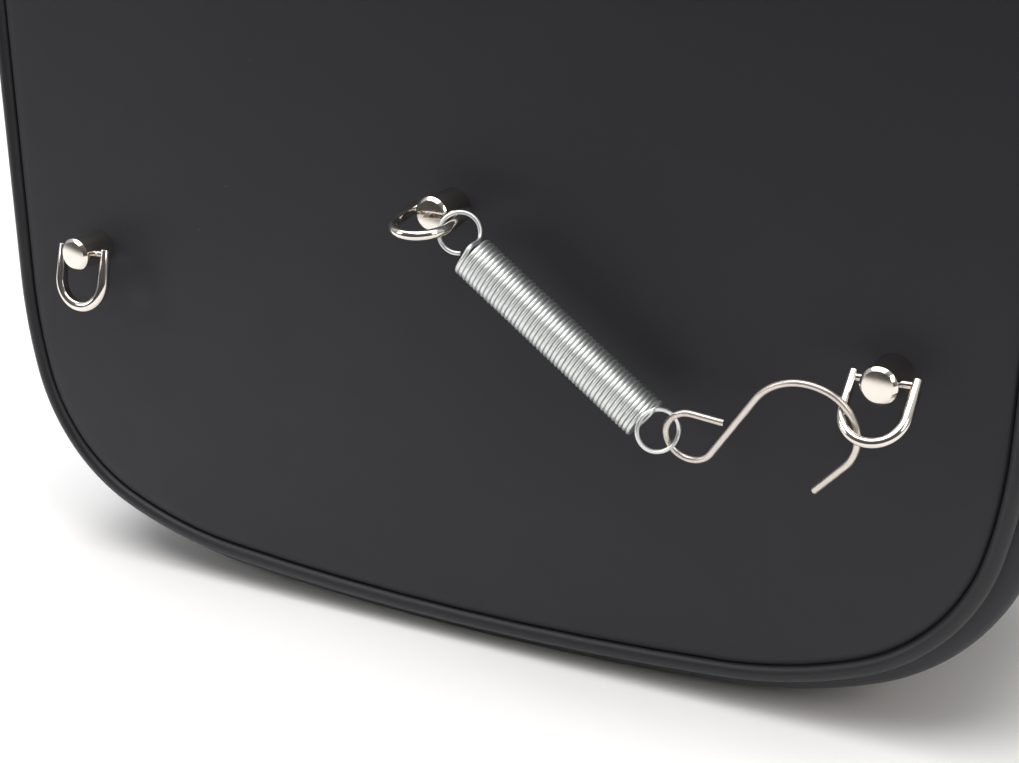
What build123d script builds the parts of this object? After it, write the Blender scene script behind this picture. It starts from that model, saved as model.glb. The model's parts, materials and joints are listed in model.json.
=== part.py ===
from build123d import *
import math
import os

# Saddle bag for a bicycle's luggage rack, in millimetres.
# X is across the bag, +Y is the side that faces the wheel and the rack, +Z is up.
# The origin is under the middle of the bag, on the surface that it stands on.

os.makedirs("parts", exist_ok=True)

# ---- body shell ----
body_depth = 115.0        # outer face of the back panel to outer face of the front panel
skin = 1.6                # coated fabric of the panels and the gusset
board = 2.2               # stiffener board under each panel
seam_allowance = 7.0      # width of gusset that is turned in behind a panel
gusset_proud = 9.9        # how far the gusset bulges outside the panel's edge
gusset_round = 4.5        # soft edge of the bulge
base_flat = 0.5           # how far the bottom is pressed flat where it stands
piping_d = 4.4
piping_proud = 0.6        # piping in front of the panel's face
back_top = 296.0          # top edge of the back panel
back_corner = 24.0        # its two upper corners
rim_drop = 16.0           # front panel and gusset end this far below the back panel
rim_binding_h = 2.5
lining_t = 0.5
lining_gap = 0.4
lining_behind_board = 4.2
base_board_t = 3.0
hair = 0.1                # gap between sewn pieces that only lie against each other
piping_below_rim = 0.5    # the front piping ends just under the rim binding
base_board_play = 2.0     # base board to the lining, front and back

# The panel's lower outline: arcs from the middle of the bottom out to the side.
bottom_arc = (861.0, 5.0)
lead_in_arc = (116.0, 18.0)
corner_arc = (49.5, 53.5)
lead_out_arc = (134.0, 11.9)
outline_arcs = (bottom_arc, lead_in_arc, corner_arc, lead_out_arc)

# ---- flap ----
flap_side_inset = 6.0     # the flap is this much narrower than the bag, to a whole millimetre
flap_skin = 1.4
flap_board = 1.2
flap_lining = 0.8
flap_front_drop = 4.0     # the flap's fold at the front, below the back panel's top
flap_hem_drop = 131.0
flap_fold_r = 18.0
flap_corner_r = 45.0
flap_board_inset = 6.0
flap_rear_gap = 0.4
flap_above_back = 1.6
tail_h = 24.0             # part of the flap that is sewn down on the back panel
tail_side_inset = 30.0    # the tail is this much narrower than the flap
tail_corner = 4.0
snap_d = 18.0
snap_t = 2.2
snap_gap = 0.3
snap_x = 80.0
snap_drop = 101.0

# ---- carry handle on the flap ----
handle_half = 62.0        # middle of the bag to the middle of each ring
handle_reach = 36.0       # ring axis to the middle of the grip
handle_y = 8.0            # ring axis, towards the wheel from the middle of the bag
handle_lift = 2.0         # degrees that it lies above the slope of the flap
dring_wire = 3.2
dring_w = 26.0
dring_h = 14.0
dring_corner = 4.0
dring_play = 0.06
grip_d = 9.0
grip_corner = 14.0
grip_past_ring = 4.5
chape_w = 16.0
chape_l = 20.0            # ring axis to the chape's rear end
chape_t = 2.6
chape_lift = 0.5
chape_rivet_back = 12.5
handle_rivet_d = 3.0
handle_rivet_head = 6.5
handle_rivet_t = 1.2

# ---- rack hooks ----
rail_d = 12.0             # tube of the rack that the hooks hang on
rail_play = 0.1
liner_t = 1.5
liner_near_leg = 12.0
hook_t = 2.5
hook_w = 20.0
hook_x = 80.0
hook_drop = 39.0          # axis of the rail below the back panel's top
hook_leg = 20.0
hook_plate_l = 43.0
backplate_t = 1.5
rivet_d = 4.0
rivet_head_d = 8.0
rivet_head_t = 1.2
rivet_drops = (20.0, 36.0)
shank_play = 0.05

# ---- studs with rings, low on the back panel ----
stud_d = 9.0
stud_h = 12.0
stud_chamfer = 0.8
stud_x = 115.2
stud_z = 95.6
mid_stud_up = 25.2
ring_pin_off = 7.2        # ring axis in front of the panel
ring_pin_d = 2.0
ring_pin_play = 0.05
ring_pin_in = 2.2
ring_bar = 2.6
ring_flat = 0.9           # centre of the bar to its flat inner side
ring_half = 7.4
ring_leg = 7.9
ring_out_left = 12.0      # degrees that each ring stands out from the panel
ring_out_mid = 80.0
ring_out_right = 43.0
screw_d = 4.0
screw_grip = 5.0
screw_head_d = 7.5
screw_head_t = 2.0
washer_d = 12.0
washer_t = 1.0

# ---- spring and S-hook ----
coil_d = 11.3
loop_d = 11.3             # outside of the loop at each end
wire_d = 1.18
coil_from_mid = (-12.7, 14.0, -7.9)       # from the middle stud's foot
loop_from_mid = (-9.3, 13.5, -2.9)
coil_from_right = (55.8, 13.05, -16.9)    # from the right stud's foot
low_loop_out = 3.8
low_loop_lift = 0.9       # clear of the hook's eye, square to the loop
loop_facing = Vector(-0.46, 0.83, 0.32)
top_loop_span = (-60.0, 228.0)
low_loop_span = (-52.0, 232.0)
coil_gap = 0.3
hook_wire = 1.7
hook_from_right = (3.3, 14.1, -11.6)
hook_lean = 0.18
hook_start = (-32.1, -2.6)
hook_heading = 174.0
hook_tip = 8.1
hook_eye = (6.2, 241.0)
hook_stem = 20.2
hook_arch = (14.3, -78.0)
hook_bend = (11.5, -110.0)
hook_tail = 10.9

# ---- places worked out from the sizes above ----
past = 1.0                # how far a cutting shape runs on past the surface
groove_low = gusset_proud - base_flat
rim_z = back_top - rim_drop
flap_front_z = back_top - flap_front_drop
flap_hem_z = back_top - flap_hem_drop
snap_z = back_top - snap_drop
hook_axis_z = back_top - hook_drop
snap_stack = 2 * snap_t + snap_gap
flap_t = flap_skin + flap_board + flap_lining
flap_out = snap_stack + flap_t / 2 + piping_d / 2
mid_ring_reach = math.sin(math.radians(ring_out_mid)) * (ring_leg + ring_half)
back_reach = ring_pin_off + mid_ring_reach + ring_bar / 2
y_back = (body_depth + flap_out - back_reach) / 2
y_front = y_back - body_depth
panel_stack = skin + board


def turtle(start, heading, moves):
    """Edges from a start point and heading; a move is a length or (radius, turn in degrees)."""
    edges = []
    x, z = start
    angle = math.radians(heading)
    for move in moves:
        if isinstance(move, tuple):
            radius, turn = move[0], math.radians(move[1])
            side = math.copysign(1.0, turn)
            cx = x - side * radius * math.sin(angle)
            cz = z + side * radius * math.cos(angle)
            mid = angle + turn / 2
            end = angle + turn
            middle = (cx + side * radius * math.sin(mid), cz - side * radius * math.cos(mid))
            after = (cx + side * radius * math.sin(end), cz - side * radius * math.cos(end))
            edges.append(ThreePointArc((x, z), middle, after))
            angle = end
        else:
            after = (x + move * math.cos(angle), z + move * math.sin(angle))
            edges.append(Line((x, z), after))
        x, z = after
    return edges, (x, z), angle


def half_outline(off, top):
    """Right half of the outline, off outside the panel's edge, up to the height top."""
    arcs = [(radius + off, turn) for radius, turn in outline_arcs]
    edges, end, angle = turtle((0, groove_low - off), 0.0, arcs)
    reach = (end[0] + (top - end[1]) / math.tan(angle), top)
    edges.append(Line(end, reach))
    return edges, reach


def outline_face(off, top):
    edges, reach = half_outline(off, top)
    right = Wire(edges)
    left = right.mirror(Plane.YZ)
    lid = Line((-reach[0], top), reach)
    return make_face([*right.edges(), *left.edges(), lid])


def front_plane(y):
    """Local x is +X and local y is +Z; the normal points to -Y."""
    return Plane(origin=(0, y, 0), x_dir=(1, 0, 0), z_dir=(0, -1, 0))


def slab(face, y_low, y_high):
    """A flat face drawn in X and Z, as thick as from y_low to y_high."""
    return extrude(front_plane(y_high) * face, amount=y_high - y_low)


def block(x_low, x_high, y_low, y_high, z_low, z_high):
    middle = ((x_low + x_high) / 2, (y_low + y_high) / 2, (z_low + z_high) / 2)
    return Pos(*middle) * Box(x_high - x_low, y_high - y_low, z_high - z_low)


def rod(x, y_low, y_high, z, diameter):
    """A round bar along Y."""
    return Pos(x, (y_low + y_high) / 2, z) * Rot(90, 0, 0) * Cylinder(diameter / 2, y_high - y_low)


def bar_x(x_low, x_high, y, z, diameter):
    return Pos((x_low + x_high) / 2, y, z) * Rot(0, 90, 0) * Cylinder(diameter / 2, x_high - x_low)


def group(solids):
    return Compound(children=list(solids))


def save(shape, node):
    export_step(shape, f"parts/{node}.step")


bag_half_w = half_outline(gusset_proud, rim_z)[1][0]
flap_half_w = round(bag_half_w - flap_side_inset)
tail_half_w = flap_half_w - tail_side_inset
stud_places = {
    "left": (stud_x, stud_z),
    "mid": (0.0, stud_z + mid_stud_up),
    "right": (-stud_x, stud_z),
}
hook_places = {"left": hook_x, "right": -hook_x}


# ---- back panel, its board and piping ----
def panel_face(inset):
    face = outline_face(-inset, back_top - inset)
    top_corners = face.vertices().sort_by(Axis.Y)[-2:]
    return fillet(top_corners, back_corner - inset)


def fastener_holes(y_low, y_high):
    """Holes for the stud screws and the hook rivets."""
    cuts = [rod(x, y_low, y_high, z, screw_d + 2 * shank_play) for x, z in stud_places.values()]
    for x in hook_places.values():
        for drop in rivet_drops:
            cuts.append(rod(x, y_low, y_high, hook_axis_z - drop, rivet_d + 2 * shank_play))
    return cuts


def make_back():
    through = fastener_holes(y_back - panel_stack - past, y_back + past)
    panel = slab(panel_face(hair), y_back - skin, y_back)
    save(panel - through, "back_panel")
    stiffener = slab(panel_face(2 * hair + skin), y_back - panel_stack, y_back - skin)
    save(stiffener - through, "back_board")


def make_piping(y, top, node):
    """Piping cord round the bottom and both sides, ending at the height top."""
    edges, reach = half_outline(piping_d / 2, top)
    right = Wire(edges)
    flat = Wire([*right.edges(), *right.mirror(Plane.YZ).edges()])
    path = front_plane(y) * flat
    start = path @ 0
    section = Plane(origin=start, z_dir=path % 0) * Circle(piping_d / 2)
    save(sweep(section, path=path), node)


# ---- front panel and the inner boards ----
def make_front():
    save(slab(outline_face(-hair, rim_z), y_front, y_front + skin), "front_panel")
    face = outline_face(-2 * hair - skin, rim_z)
    save(slab(face, y_front + skin, y_front + panel_stack), "front_board")


def bag_inside(off, y_low, y_high, floor):
    """The room inside a layer of the bag, open at the top, with its bottom no lower than floor."""
    room = slab(outline_face(off, back_top + past), y_low, y_high)
    reach = 2 * flap_half_w
    return room & block(-reach, reach, y_low, y_high, floor, back_top + past)


def make_gusset():
    y_low, y_high = y_front + panel_stack, y_back - panel_stack
    outer = slab(outline_face(gusset_proud, rim_z), y_low, y_high)
    long_edges = outer.edges().filter_by(lambda e: abs(e.center().Y - y_low) < hair)
    long_edges += outer.edges().filter_by(lambda e: abs(e.center().Y - y_high) < hair)
    low_edges = [e for e in long_edges if e.center().Z < rim_z - hair]
    outer = fillet(low_edges, gusset_round)
    reach = 2 * flap_half_w
    outer = outer & block(-reach, reach, y_low, y_high, 0, rim_z)
    room = bag_inside(gusset_proud - skin, y_low + skin, y_high - skin, skin)
    mouth = slab(outline_face(-seam_allowance, back_top), y_low - past, y_high + past)
    save(outer - room - mouth, "gusset")


def make_lining():
    y_low = y_front + panel_stack + skin + lining_gap
    y_high = y_back - panel_stack - lining_behind_board
    off = gusset_proud - skin - lining_gap
    floor = skin + lining_gap
    outer = bag_inside(off, y_low, y_high, floor)
    inner = bag_inside(off - lining_t, y_low + lining_t, y_high - lining_t, floor + lining_t)
    reach = 2 * flap_half_w
    save((outer - inner) & block(-reach, reach, y_low, y_high, 0, rim_z), "lining")
    low = floor + lining_t + hair
    play = base_board_play
    board_room = bag_inside(off - lining_t - hair, y_low + play, y_high - play, low)
    save(board_room & block(-reach, reach, y_low, y_high, low, low + base_board_t), "base_board")


def make_rim_binding():
    """Binding tape over the raw edge of the gusset, the front panel and the lining."""
    half = half_outline(0, rim_z)[1][0]
    edge = gusset_proud + piping_proud / 2
    inside = gusset_proud - skin - lining_gap - lining_t - hair
    y_high = y_back - panel_stack - hair
    y_in = y_front + panel_stack + skin + lining_gap + lining_t + hair
    top = rim_z + rim_binding_h
    outer = block(-half - edge, half + edge, y_front - piping_proud / 2, y_high, rim_z, top)
    outer = fillet(outer.edges().filter_by(Axis.Z).sort_by(Axis.Y)[:2], edge)
    inner = block(-half - inside, half + inside, y_in, y_high + past, rim_z - past, top + past)
    save(outer - inner, "rim_binding")


# ---- flap ----
hinge_z = back_top + flap_above_back
flap_y0 = y_back - flap_rear_gap
fold_y = y_front - snap_stack
flap_slope = (hinge_z - flap_front_z) / (flap_y0 - fold_y)


def flap_line(depth, y):
    """Height of the flap's sloping top at y, depth outside its inner face."""
    return flap_front_z + flap_slope * (y - fold_y) + depth * math.sqrt(1 + flap_slope**2)


def flap_layer(low, high, rear, hem, half_w, corner):
    """One layer of the flap between two depths, cut to a width, rear end and hem."""
    lines = []
    ends = []
    for depth in (low, high):
        front = fold_y - depth
        points = [(rear, flap_line(depth, rear)), (front, flap_line(depth, front)), (front, hem)]
        lines.append(FilletPolyline(*points, radius=flap_fold_r + depth))
        ends.append((points[0], points[-1]))
    lines.append(Line(ends[0][0], ends[1][0]))
    lines.append(Line(ends[0][1], ends[1][1]))
    face = make_face([edge for line in lines for edge in line.edges()])
    side = Plane(origin=(-half_w, 0, 0), x_dir=(0, 1, 0), z_dir=(1, 0, 0))
    strip = extrude(side * face, amount=2 * half_w)
    top = hinge_z + flap_t + past
    apron = Pos(0, (hem + top) / 2) * Rectangle(2 * half_w, top - hem)
    apron = fillet(apron.vertices().sort_by(Axis.Y)[:2], corner)
    return strip & slab(apron, fold_y - flap_t - past, y_back)


def make_flap():
    rivets = flap_rivet_holes()
    full = (flap_y0, flap_hem_z, flap_half_w, flap_corner_r)
    save(flap_layer(0, flap_lining, *full) - rivets, "flap_lining")
    inset = flap_board_inset
    small = (flap_y0 - inset, flap_hem_z + inset, flap_half_w - inset, flap_corner_r - inset)
    mid = flap_lining + flap_board
    save(flap_layer(flap_lining, mid, *small) - rivets, "flap_board")
    save(flap_layer(mid, flap_t, *full) - rivets, "flap_skin")


def make_flap_piping():
    """Piping cord along both sides and the hem of the flap."""
    x = flap_half_w + hair + piping_d / 2
    middle = flap_t / 2
    front = fold_y - middle
    rear = flap_y0 - piping_d
    hem = flap_hem_z - hair - piping_d / 2
    points = [
        (-x, rear, flap_line(middle, rear)),
        (-x, front, flap_line(middle, front)),
        (-x, front, hem),
        (x, front, hem),
        (x, front, flap_line(middle, front)),
        (x, rear, flap_line(middle, rear)),
    ]
    fold = flap_fold_r + middle
    corner = flap_corner_r + piping_d / 2
    path = FilletPolyline(*points, radius=[fold, corner, corner, fold])
    section = Plane(origin=path @ 0, z_dir=path % 0) * Circle(piping_d / 2)
    save(sweep(section, path=path), "flap_piping")


def make_tail():
    """The strip of the flap that is sewn down on the back panel, below the fold."""
    face = Pos(0, back_top - tail_h / 2) * RectangleRounded(2 * tail_half_w, tail_h, tail_corner)
    save(slab(face, y_back, y_back + flap_skin), "flap_tail")


def make_snaps():
    magnets = []
    plates = []
    for x in (-snap_x, snap_x):
        magnets.append(rod(x, fold_y, fold_y + snap_t, snap_z, snap_d))
        plates.append(rod(x, y_front - snap_t, y_front, snap_z, snap_d))
    save(group(magnets), "snap_magnets")
    save(group(plates), "snap_plates")


# ---- carry handle ----
handle_axis_up = chape_t + dring_wire / 2 + chape_lift
handle_axis_z = flap_line(flap_t + handle_axis_up, handle_y)
slope_angle = math.degrees(math.atan(flap_slope))
on_flap = Pos(0, handle_y, handle_axis_z) * Rot(slope_angle, 0, 0)
laid_down = Pos(0, handle_y, handle_axis_z) * Rot(slope_angle - handle_lift, 0, 0)


def upright(x, y, z_low, z_high, diameter):
    return Pos(x, y, (z_low + z_high) / 2) * Cylinder(diameter / 2, z_high - z_low)


def flap_rivet_holes():
    """Holes for the two chape rivets, square to the slope of the flap."""
    size = handle_rivet_d + 2 * shank_play
    low = -handle_axis_up - 2 * flap_t
    return [on_flap * upright(x, chape_rivet_back, low, 0, size) for x in (-handle_half, handle_half)]


def tube(path, diameter):
    section = Plane(origin=path @ 0, z_dir=path % 0) * Circle(diameter / 2)
    return sweep(section, path=path)


def make_handle():
    rings = []
    chapes = []
    rivets = []
    for x in (-handle_half, handle_half):
        w, h = dring_w / 2, dring_h
        frame = [(x - w, 0), (x - w, -h), (x + w, -h), (x + w, 0)]
        path = Wire(FilletPolyline(*frame, radius=dring_corner, close=True).edges())
        rings.append(laid_down * tube(path, dring_wire))
        eye_d = dring_wire + 2 * dring_play
        low = -handle_axis_up
        base = block(x - chape_w / 2, x + chape_w / 2, 0, chape_l, low, low + chape_t)
        loop = bar_x(x - chape_w / 2, x + chape_w / 2, 0, 0, 2 * handle_axis_up)
        eye = bar_x(x - chape_w, x + chape_w, 0, 0, eye_d)
        hole = upright(x, chape_rivet_back, low - past, 0, handle_rivet_d + 2 * shank_play)
        chapes.append(on_flap * (base + loop - eye - hole))
        under = low - flap_t
        head = low + chape_t
        rivet = upright(x, chape_rivet_back, under, head, handle_rivet_d)
        rivet += upright(x, chape_rivet_back, head, head + handle_rivet_t, handle_rivet_head)
        rivet += upright(x, chape_rivet_back, under - handle_rivet_t, under, handle_rivet_head)
        rivets.append(on_flap * rivet)
    save(group(rings), "handle_rings")
    save(group(chapes), "handle_chapes")
    save(group(rivets), "handle_rivets")
    start = -dring_h + grip_past_ring
    side = [(-handle_half, start), (-handle_half, -handle_reach)]
    route = side + [(-x, y) for x, y in reversed(side)]
    grip = tube(Wire(FilletPolyline(*route, radius=grip_corner).edges()), grip_d)
    for x in (-handle_half, handle_half):
        grip -= bar_x(x - grip_d, x + grip_d, -dring_h, 0, dring_wire)
    save(laid_down * grip, "handle_grip")


# ---- rack hooks ----
mouth_r = rail_d / 2 + rail_play
hook_inner_r = mouth_r + liner_t
hook_axis_y = y_back + hook_t + hook_inner_r


def hook_profile(inner_r, outer_r, low):
    """Side view of a strap bent over the rail, from the plate's foot to the open leg's end."""
    top = Circle(outer_r) - Circle(inner_r)
    top = top & Pos(0, outer_r) * Rectangle(4 * outer_r, 2 * outer_r)
    near = Pos(-(inner_r + outer_r) / 2, -low / 2) * Rectangle(outer_r - inner_r, low)
    far = Pos((inner_r + outer_r) / 2, -hook_leg / 2) * Rectangle(outer_r - inner_r, hook_leg)
    return top + near + far


def along_x(face, x, width):
    side = Plane(origin=(x - width / 2, hook_axis_y, hook_axis_z), x_dir=(0, 1, 0), z_dir=(1, 0, 0))
    return extrude(side * face, amount=width)


def make_hooks():
    plates = []
    rivets = []
    inside = y_back - panel_stack
    for name, x in hook_places.items():
        strap = along_x(hook_profile(hook_inner_r, hook_inner_r + hook_t, hook_plate_l), x, hook_w)
        strap -= fastener_holes(y_back - past, y_back + hook_t + past)
        save(strap, f"rack_hook_{name}")
        liner = along_x(hook_profile(mouth_r, hook_inner_r, liner_near_leg), x, hook_w)
        save(liner, f"hook_liner_{name}")
        middle = hook_axis_z - sum(rivet_drops) / 2
        size = rivet_drops[1] - rivet_drops[0] + 3 * rivet_d
        plate = block(x - hook_w / 2, x + hook_w / 2, inside - backplate_t, inside,
                      middle - size / 2, middle + size / 2)
        plates.append(plate - fastener_holes(inside - backplate_t - past, inside + past))
        for rivet_drop in rivet_drops:
            z = hook_axis_z - rivet_drop
            front = y_back + hook_t
            rear = inside - backplate_t
            rivet = rod(x, rear, front, z, rivet_d)
            rivet += rod(x, front, front + rivet_head_t, z, rivet_head_d)
            rivet += rod(x, rear - rivet_head_t, rear, z, rivet_head_d)
            rivets.append(rivet)
    save(group(plates), "hook_backplates")
    save(group(rivets), "hook_rivets")


# ---- studs, rings and their screws ----
def foot_point(name, offset):
    """A point given from a stud's foot: across, out of the panel, and up."""
    x, z = stud_places[name]
    return Vector(x + offset[0], y_back + offset[1], z + offset[2])


def make_ring():
    """A bail with its pins on the X axis through the origin, hanging straight down."""
    bar = ring_bar / 2
    route = Wire(
        [
            Line((-ring_half, bar), (-ring_half, -ring_leg)),
            ThreePointArc((-ring_half, -ring_leg), (0, -ring_leg - ring_half), (ring_half, -ring_leg)),
            Line((ring_half, -ring_leg), (ring_half, bar)),
        ]
    )
    flat = Pos(ring_flat / 2 - bar / 2, 0) * Rectangle(bar + ring_flat, ring_bar)
    section = Circle(bar) & flat
    start = Plane(origin=(-ring_half, bar, 0), x_dir=(1, 0, 0), z_dir=(0, -1, 0))
    bail = sweep(start * section, path=route)
    bail = Plane(origin=(0, 0, 0), x_dir=(1, 0, 0), z_dir=(0, -1, 0)) * bail
    bail += bar_x(-ring_half, -ring_pin_in, 0, 0, ring_pin_d)
    bail += bar_x(ring_pin_in, ring_half, 0, 0, ring_pin_d)
    return bail


def make_studs():
    screws = []
    washers = []
    ring = make_ring()
    inside = y_back - panel_stack
    angles = {"left": ring_out_left, "mid": ring_out_mid, "right": ring_out_right}
    for name, (x, z) in stud_places.items():
        post = rod(x, y_back, y_back + stud_h, z, stud_d)
        rim = [e for e in post.edges() if e.center().Y > y_back + stud_h - hair]
        post = chamfer(rim, stud_chamfer)
        post -= rod(x, y_back - past, y_back + screw_grip, z, screw_d + 2 * shank_play)
        eye = ring_pin_d + 2 * ring_pin_play
        post -= bar_x(x - stud_d, x + stud_d, y_back + ring_pin_off, z, eye)
        save(post, f"stud_{name}")
        place = Pos(x, y_back + ring_pin_off, z) * Rot(angles[name], 0, 0)
        save(place * ring, f"ring_{name}")
        seat = inside - washer_t
        washer = rod(x, seat, inside, z, washer_d)
        washers.append(washer - rod(x, seat - past, inside + past, z, screw_d + 2 * shank_play))
        screw = rod(x, seat, y_back + screw_grip, z, screw_d)
        screws.append(screw + rod(x, seat - screw_head_t, seat, z, screw_head_d))
    save(group(screws), "stud_screws")
    save(group(washers), "stud_washers")


# ---- spring and S-hook ----
def loop_plane(centre, axis):
    """A plane along the coil's axis, with its normal as close to loop_facing as it can be."""
    normal = (loop_facing - axis * loop_facing.dot(axis)).normalized()
    return Plane(origin=centre, x_dir=axis.cross(normal), z_dir=normal)


def arc_wire(plane, radius, span):
    """Wire along part of a circle, between two angles from the plane's X direction."""
    points = [
        (radius * math.cos(math.radians(a)), radius * math.sin(math.radians(a)))
        for a in (span[0], sum(span) / 2, span[1])
    ]
    path = plane * Wire([ThreePointArc(*points)])
    return tube(path, wire_d)


def make_spring():
    top = foot_point("mid", coil_from_mid)
    low = foot_point("right", coil_from_right)
    axis = (low - top).normalized()
    length = (low - top).length
    coil_plane = Plane(origin=top, z_dir=axis)
    ring = Circle(coil_d / 2) - Circle(coil_d / 2 - wire_d)
    save(extrude(coil_plane * ring, amount=length), "spring_coil")
    mean = (loop_d - wire_d) / 2
    upper = loop_plane(foot_point("mid", loop_from_mid), -axis)
    save(arc_wire(upper, mean, top_loop_span), "spring_top_loop")
    lower = loop_plane(low + axis * (low_loop_out + coil_gap), axis).offset(low_loop_lift)
    save(arc_wire(lower, mean, low_loop_span), "spring_low_loop")
    print("coil length", round(length, 2), "axis", [round(v, 4) for v in axis])


def make_s_hook():
    moves = [hook_tip, hook_eye, hook_stem, hook_arch, hook_bend, hook_tail]
    edges = turtle(hook_start, hook_heading, moves)[0]
    lean = Vector(0, hook_lean, 1).normalized()
    across = Vector(-1, 0, 0)
    plane = Plane(origin=foot_point("right", hook_from_right), x_dir=across, z_dir=across.cross(lean))
    save(tube(plane * Wire(edges), hook_wire), "s_hook")


make_back()
make_piping(y_back + piping_proud - piping_d / 2, back_top - back_corner, "back_piping")
make_piping(y_front - piping_proud + piping_d / 2, rim_z - piping_below_rim, "front_piping")
make_front()
make_gusset()
make_lining()
make_rim_binding()
make_flap()
make_flap_piping()
make_tail()
make_snaps()
make_handle()
make_hooks()
make_studs()
make_spring()
make_s_hook()
print("back panel at", round(y_back, 3), "front panel at", round(y_front, 3), "hinge", round(hinge_z, 2))
print("handle axis height", round(handle_axis_z, 3), "slope", round(slope_angle, 3))
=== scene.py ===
import json
import math
import bmesh
import bpy
from mathutils import Matrix, Vector, noise

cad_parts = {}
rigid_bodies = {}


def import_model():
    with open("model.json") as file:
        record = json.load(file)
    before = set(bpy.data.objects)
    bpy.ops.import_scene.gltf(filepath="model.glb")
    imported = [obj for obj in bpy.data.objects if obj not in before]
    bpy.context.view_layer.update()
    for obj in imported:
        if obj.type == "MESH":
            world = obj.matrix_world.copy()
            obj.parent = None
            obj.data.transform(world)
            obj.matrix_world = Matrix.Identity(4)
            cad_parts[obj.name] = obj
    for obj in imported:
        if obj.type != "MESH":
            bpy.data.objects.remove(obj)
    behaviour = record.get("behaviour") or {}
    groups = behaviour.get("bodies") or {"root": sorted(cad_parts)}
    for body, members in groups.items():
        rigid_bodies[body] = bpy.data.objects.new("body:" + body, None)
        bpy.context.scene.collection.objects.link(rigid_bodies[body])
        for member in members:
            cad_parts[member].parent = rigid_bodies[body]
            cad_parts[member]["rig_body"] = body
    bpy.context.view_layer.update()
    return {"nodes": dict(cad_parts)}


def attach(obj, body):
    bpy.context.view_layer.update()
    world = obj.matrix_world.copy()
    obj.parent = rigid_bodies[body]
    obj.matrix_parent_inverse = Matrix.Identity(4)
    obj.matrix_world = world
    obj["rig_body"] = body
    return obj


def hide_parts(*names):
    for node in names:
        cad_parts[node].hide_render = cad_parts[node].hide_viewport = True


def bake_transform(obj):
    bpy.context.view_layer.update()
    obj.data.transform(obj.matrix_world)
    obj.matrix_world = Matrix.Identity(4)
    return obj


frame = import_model()
bpy.ops.object.select_all(action="DESELECT")

# ---- Studio: camera, light and floor ----
# A camera at the height of the bag's top looks a little down on its rear side, through a short
# telephoto lens. A large soft box hangs over a white floor, with a dark room behind the camera.
bpy.ops.object.camera_add(location=(-0.2401, 0.4563, 0.2354))
camera = bpy.context.object
camera.name = "studio_camera"
towards_camera = Vector((-0.45771, 0.82829, 0.32316))
camera.rotation_euler = (-towards_camera).to_track_quat("-Z", "Y").to_euler()
camera.data.lens = 68.5
camera.data.sensor_width = 36.0
camera.data.clip_start = 0.01
camera.data.clip_end = 30.0
bpy.context.scene.camera = camera


def linear(hex_colour):
    """A hex sRGB colour as linear red, green, blue and alpha."""
    parts = [int(hex_colour[i:i + 2], 16) / 255 for i in (1, 3, 5)]
    return [c / 12.92 if c <= 0.04045 else ((c + 0.055) / 1.055) ** 2.4 for c in parts] + [1.0]


def new_material(name):
    """An empty node material, its tree, its shader and its object coordinates."""
    material = bpy.data.materials.new(name)
    material.use_nodes = True
    tree = material.node_tree
    coordinates = tree.nodes.new("ShaderNodeTexCoord").outputs["Object"]
    return material, tree, tree.nodes["Principled BSDF"], coordinates


def add(tree, kind, inputs, **settings):
    """Adds a shader node; each input is given a value or another node's output."""
    made = tree.nodes.new("ShaderNode" + kind)
    for key, value in settings.items():
        setattr(made, key, value)
    for key, value in inputs.items():
        if isinstance(value, bpy.types.NodeSocket):
            tree.links.new(value, made.inputs[key])
        else:
            made.inputs[key].default_value = value
    return made


def soft_box(name, place, aim, size, watts, colour="#ffffff"):
    bpy.ops.object.light_add(type="AREA", location=place)
    lamp = bpy.context.object
    lamp.name = name
    lamp.data.shape = "RECTANGLE"
    lamp.data.size, lamp.data.size_y = size
    lamp.data.energy = watts
    lamp.data.color = linear(colour)[:3]
    lamp.rotation_euler = (Vector(aim) - Vector(place)).to_track_quat("-Z", "Y").to_euler()


soft_box("overhead_box", (0.25, 0.35, 1.65), (0, 0, 0.05), (1.9, 1.5), 30)
soft_box("left_box", (1.5, 1.1, 0.75), (0, 0, 0.12), (0.5, 0.7), 7)
soft_box("right_box", (-1.4, 0.8, 0.9), (0, 0, 0.12), (0.4, 0.8), 7, "#fff6ec")

bpy.ops.mesh.primitive_plane_add(size=14, location=(0, 0, 0))
floor = bpy.context.object
floor.name = "studio_floor"
paper, tree, shader, coordinates = new_material("paper_sweep_matt")
mottle = add(tree, "TexNoise", {"Vector": coordinates, "Scale": 1.5, "Detail": 3.0})
tint = add(tree, "Mix", {0: mottle.outputs["Fac"], 6: linear("#f6f5f4"), 7: linear("#fbfaf9")},
           data_type="RGBA")
# The floor is white up to 0.35 m in front of the bag; beyond it the floor is painted dark, painted
# shade that the polished metal reflects as its dark tones.
along = add(tree, "SeparateXYZ", {0: coordinates})
painted_dark_floor_mask = add(tree, "MapRange", {"Value": along.outputs["Y"], "From Min": 0.36,
                                    "From Max": 0.44})
# Mixes the painted dark into the floor colour: painted shade for the metal to reflect.
floor_with_painted_dark = add(tree, "Mix", {0: painted_dark_floor_mask.outputs[0], 6: tint.outputs[2], 7: linear("#3a3532")},
            data_type="RGBA")
tree.links.new(floor_with_painted_dark.outputs[2], shader.inputs["Base Color"])
shader.inputs["Roughness"].default_value = 0.75
shader.inputs["Specular IOR Level"].default_value = 0.2
floor.data.materials.append(paper)

world = bpy.data.worlds.new("studio_room")
bpy.context.scene.world = world
world.use_nodes = True
tree = world.node_tree
direction = tree.nodes.new("ShaderNodeTexCoord").outputs["Generated"]
height = add(tree, "SeparateXYZ", {0: direction})
glow = add(tree, "MapRange", {"Value": height.outputs["Z"], "From Min": -0.05, "From Max": 0.8,
                              "To Min": 0.30, "To Max": 0.85})
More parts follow.
